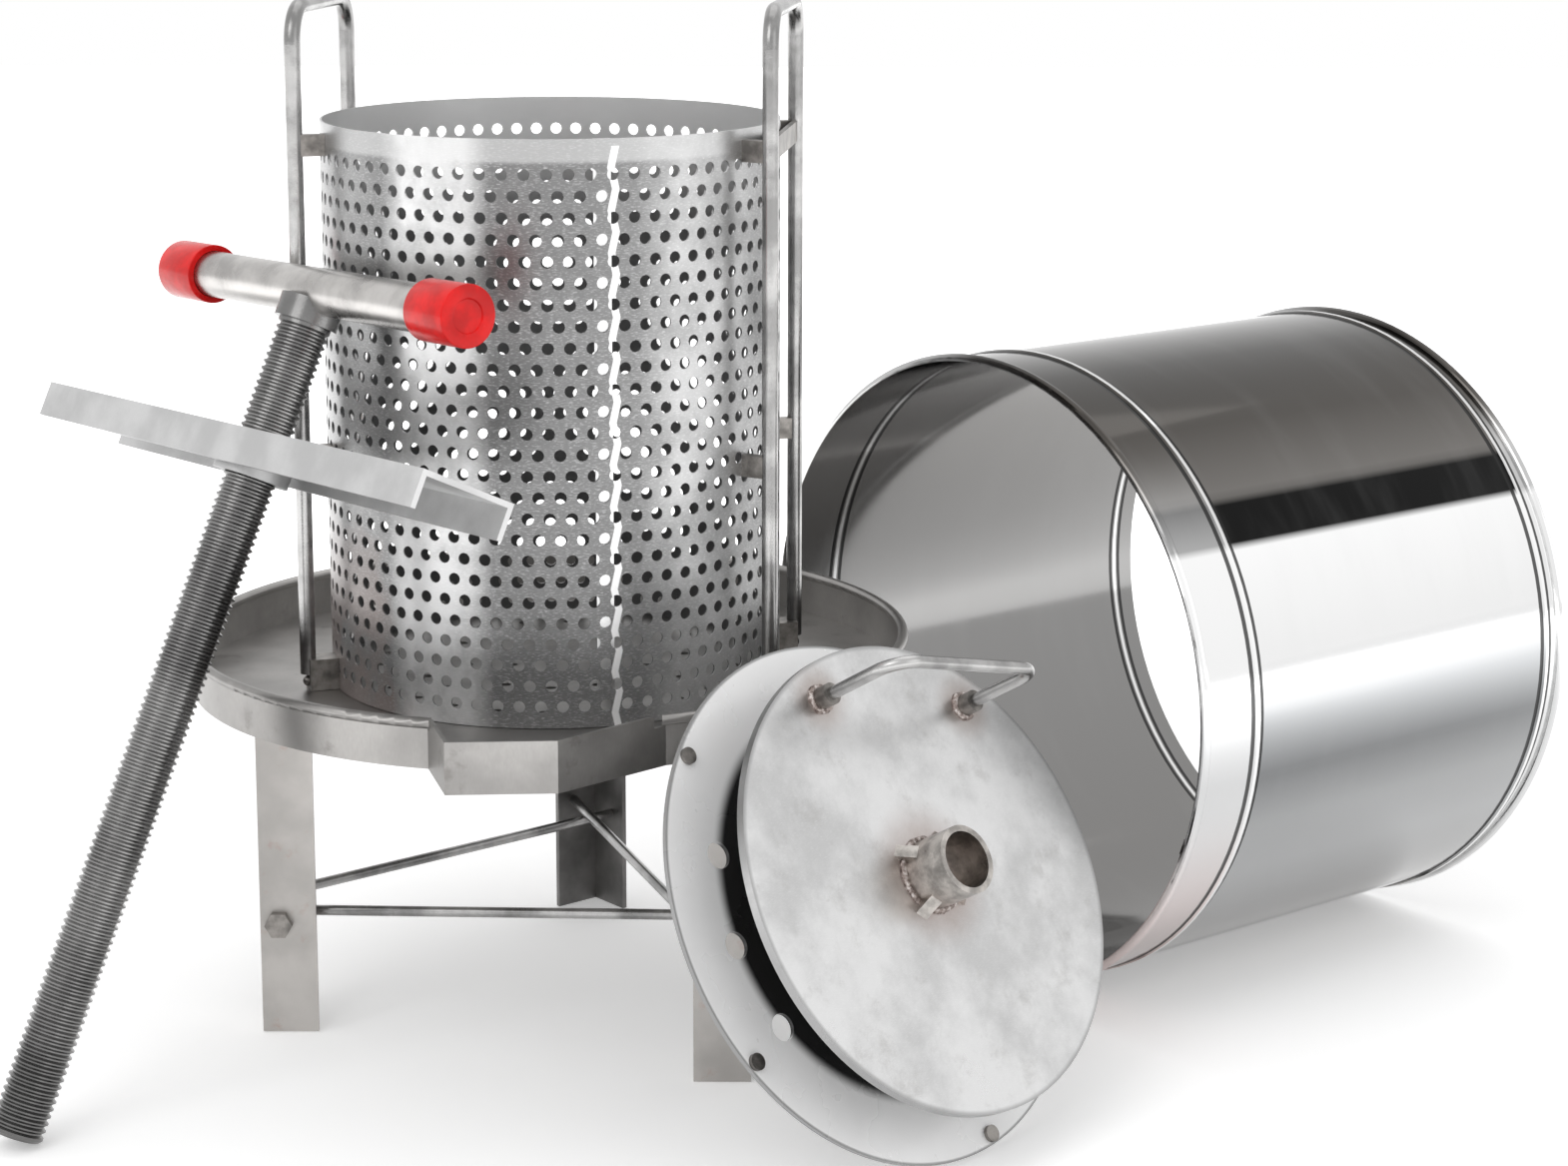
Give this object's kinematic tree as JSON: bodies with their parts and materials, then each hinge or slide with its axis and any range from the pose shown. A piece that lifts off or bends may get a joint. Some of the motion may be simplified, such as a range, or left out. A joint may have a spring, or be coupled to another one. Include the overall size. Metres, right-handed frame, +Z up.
{
  "type": "fruit press",
  "caption": "Hand-turned fruit press taken apart: perforated basket in a tray on legs, screw with T handle and cross beam, press plate, drain plate and splash barrel.",
  "frame": {"origin": "on the floor, under the middle of the whole layout's bounding box", "axes": "+Z up, +Y away from the picture's viewer, +X to the viewer's right"},
  "size_m": [0.9068, 0.6894, 0.5893],
  "materials": {
    "satin_steel": "satin",
    "basket_steel": "satin, perforated",
    "leg_steel": "satin",
    "dark_steel": "dull",
    "bright_rod": "bright",
    "screw_steel": "turned",
    "red_plastic": "gloss",
    "zinc_steel": "matte",
    "bright_plate": "satin",
    "mirror_steel": "mirror"
  },
  "bodies": {
    "stand": {"tray_pan": "satin_steel", "pour_chute": "satin_steel", "leg_left": "leg_steel", "leg_rear": "dark_steel", "leg_right": "leg_steel", "brace_left_rear": "dark_steel", "brace_rear_right": "dark_steel", "brace_right_left": "dark_steel", "leg_bolts": "dark_steel", "leg_nuts": "dark_steel"},
    "basket": {"basket_wall": "basket_steel", "basket_floor": "basket_steel", "basket_seam": "basket_steel", "upright_left": "bright_rod", "upright_right": "bright_rod", "rim_tabs": "dark_steel", "rim_bridge": "dark_steel", "middle_tabs": "dark_steel", "upright_feet": "dark_steel", "foot_nuts": "dark_steel"},
    "screw": {"press_screw": "screw_steel", "head_saddle": "dark_steel", "handle_tube": "bright_rod", "handle_cap_left": "red_plastic", "handle_cap_right": "red_plastic"},
    "beam": {"cross_beam": "zinc_steel", "beam_nut": "dark_steel"},
    "drain": {"drain_plate": "bright_plate", "drain_rivets": "dark_steel"},
    "plate": {"press_disc": "satin_steel", "screw_collar": "satin_steel", "collar_gussets": "dark_steel", "plate_handle": "bright_rod", "handle_feet": "dark_steel", "plate_hub": "satin_steel"},
    "barrel": {"barrel_shell": "mirror_steel", "barrel_near_hoop": "mirror_steel", "barrel_far_hoop": "mirror_steel", "barrel_seam": "mirror_steel"}
  },
  "joints": [
    {"name": "basket_lift", "type": "slide", "parent": "stand", "child": "basket", "axis": [0, 0, 1], "range_m": [0, 0.18]},
    {"name": "screw_spin", "type": "hinge", "parent": "stand", "child": "screw", "pos_m": [-0.42456, -0.25399, 0.00551], "axis": [0.3176, 0.286, 0.9041], "range_deg": [0, 25]},
    {"name": "beam_travel", "type": "slide", "parent": "stand", "child": "beam", "axis": [0.3176, 0.286, 0.9041], "range_m": [-0.25, 0.04]},
    {"name": "drain_lift", "type": "slide", "parent": "stand", "child": "drain", "axis": [0, 0, 1], "range_m": [0, 0.3]},
    {"name": "press_off", "type": "slide", "parent": "drain", "child": "plate", "axis": [0.6436, -0.5795, 0.5], "range_m": [0, 0.2]},
    {"name": "barrel_lift", "type": "slide", "parent": "stand", "child": "barrel", "axis": [0, 0, 1], "range_m": [0, 0.3]}
  ]
}
